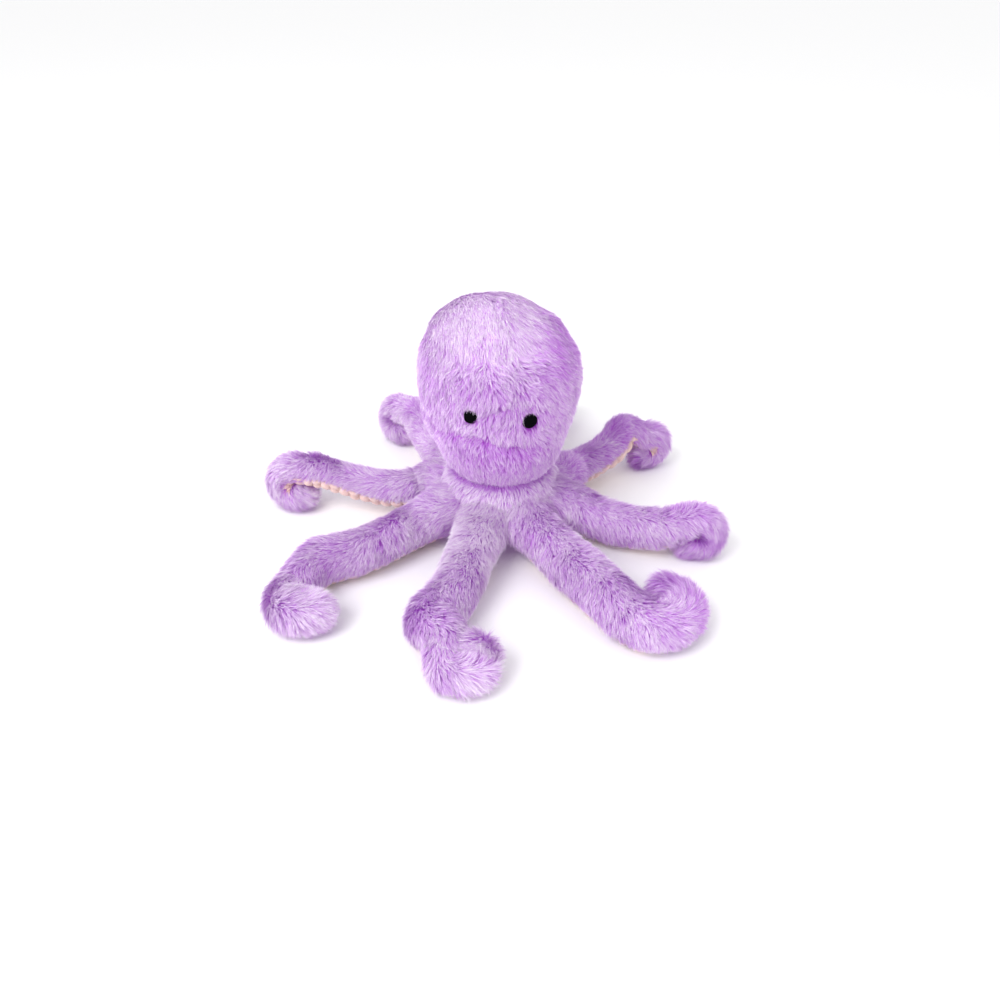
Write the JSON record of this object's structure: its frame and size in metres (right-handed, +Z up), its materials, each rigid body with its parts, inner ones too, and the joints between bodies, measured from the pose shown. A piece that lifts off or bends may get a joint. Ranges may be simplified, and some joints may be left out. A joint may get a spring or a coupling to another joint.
{
  "type": "plush octopus",
  "caption": "Plush octopus with a tall stuffed head, stitched eyes and limp curling arms with bobbled undersides.",
  "frame": {"origin": "centre of the body's flat base, on the ground", "axes": "-Y is the side with the eyes, +X the viewer's right when facing it, +Z up"},
  "size_m": [0.3262, 0.3354, 0.1691],
  "materials": {
    "lilac_pile": "long brushed plush pile, lilac with darker roots",
    "peach_bobble": "short bobble-textured plush, peach",
    "white_fibre": "loose polyester stuffing",
    "black_thread": "satin-stitched black thread"
  },
  "bodies": {
    "body": {"body_cover": "lilac_pile", "body_stuffing": "white_fibre", "base_panel": "peach_bobble"},
    "head": {"head_cover": "lilac_pile", "head_stuffing": "white_fibre", "left_eye": "black_thread", "right_eye": "black_thread"},
    "front_arm": {"front_arm_cover": "lilac_pile", "front_arm_stuffing": "white_fibre", "front_arm_underside": "peach_bobble"},
    "front_right_arm": {"front_right_arm_cover": "lilac_pile", "front_right_arm_stuffing": "white_fibre", "front_right_arm_underside": "peach_bobble"},
    "right_arm": {"right_arm_cover": "lilac_pile", "right_arm_stuffing": "white_fibre", "right_arm_underside": "peach_bobble"},
    "back_right_arm": {"back_right_arm_cover": "lilac_pile", "back_right_arm_stuffing": "white_fibre", "back_right_arm_underside": "peach_bobble"},
    "back_arm": {"back_arm_cover": "lilac_pile", "back_arm_stuffing": "white_fibre", "back_arm_underside": "peach_bobble"},
    "back_left_arm": {"back_left_arm_cover": "lilac_pile", "back_left_arm_stuffing": "white_fibre", "back_left_arm_underside": "peach_bobble"},
    "left_arm": {"left_arm_cover": "lilac_pile", "left_arm_stuffing": "white_fibre", "left_arm_underside": "peach_bobble"},
    "front_left_arm": {"front_left_arm_cover": "lilac_pile", "front_left_arm_stuffing": "white_fibre", "front_left_arm_underside": "peach_bobble"}
  },
  "joints": [
    {"name": "head_nod", "type": "hinge", "parent": "body", "child": "head", "pos_m": [0, 0, 0.02], "axis": [1, 0, 0], "range_deg": [-15, 15], "stiffness_Nm_per_rad": 0.4},
    {"name": "front_arm_lift", "type": "hinge", "parent": "body", "child": "front_arm", "pos_m": [-0.01324, -0.04616, 0.022], "axis": [-0.9613, 0.2756, 0], "range_deg": [-45, 50]},
    {"name": "front_right_arm_lift", "type": "hinge", "parent": "body", "child": "front_right_arm", "pos_m": [0.02328, -0.042, 0.022], "axis": [-0.8746, -0.4848, 0], "range_deg": [-45, 50]},
    {"name": "right_arm_lift", "type": "hinge", "parent": "body", "child": "right_arm", "pos_m": [0.04616, -0.01324, 0.022], "axis": [-0.2756, -0.9613, 0], "range_deg": [-45, 50]},
    {"name": "back_right_arm_lift", "type": "hinge", "parent": "body", "child": "back_right_arm", "pos_m": [0.042, 0.02328, 0.022], "axis": [0.4848, -0.8746, 0], "range_deg": [-45, 50]},
    {"name": "back_arm_lift", "type": "hinge", "parent": "body", "child": "back_arm", "pos_m": [0.01324, 0.04616, 0.022], "axis": [0.9613, -0.2756, 0], "range_deg": [-45, 50]},
    {"name": "back_left_arm_lift", "type": "hinge", "parent": "body", "child": "back_left_arm", "pos_m": [-0.02328, 0.042, 0.022], "axis": [0.8746, 0.4848, 0], "range_deg": [-45, 50]},
    {"name": "left_arm_lift", "type": "hinge", "parent": "body", "child": "left_arm", "pos_m": [-0.04616, 0.01324, 0.022], "axis": [0.2756, 0.9613, 0], "range_deg": [-45, 50]},
    {"name": "front_left_arm_lift", "type": "hinge", "parent": "body", "child": "front_left_arm", "pos_m": [-0.042, -0.02328, 0.022], "axis": [-0.4848, 0.8746, 0], "range_deg": [-45, 50]}
  ]
}
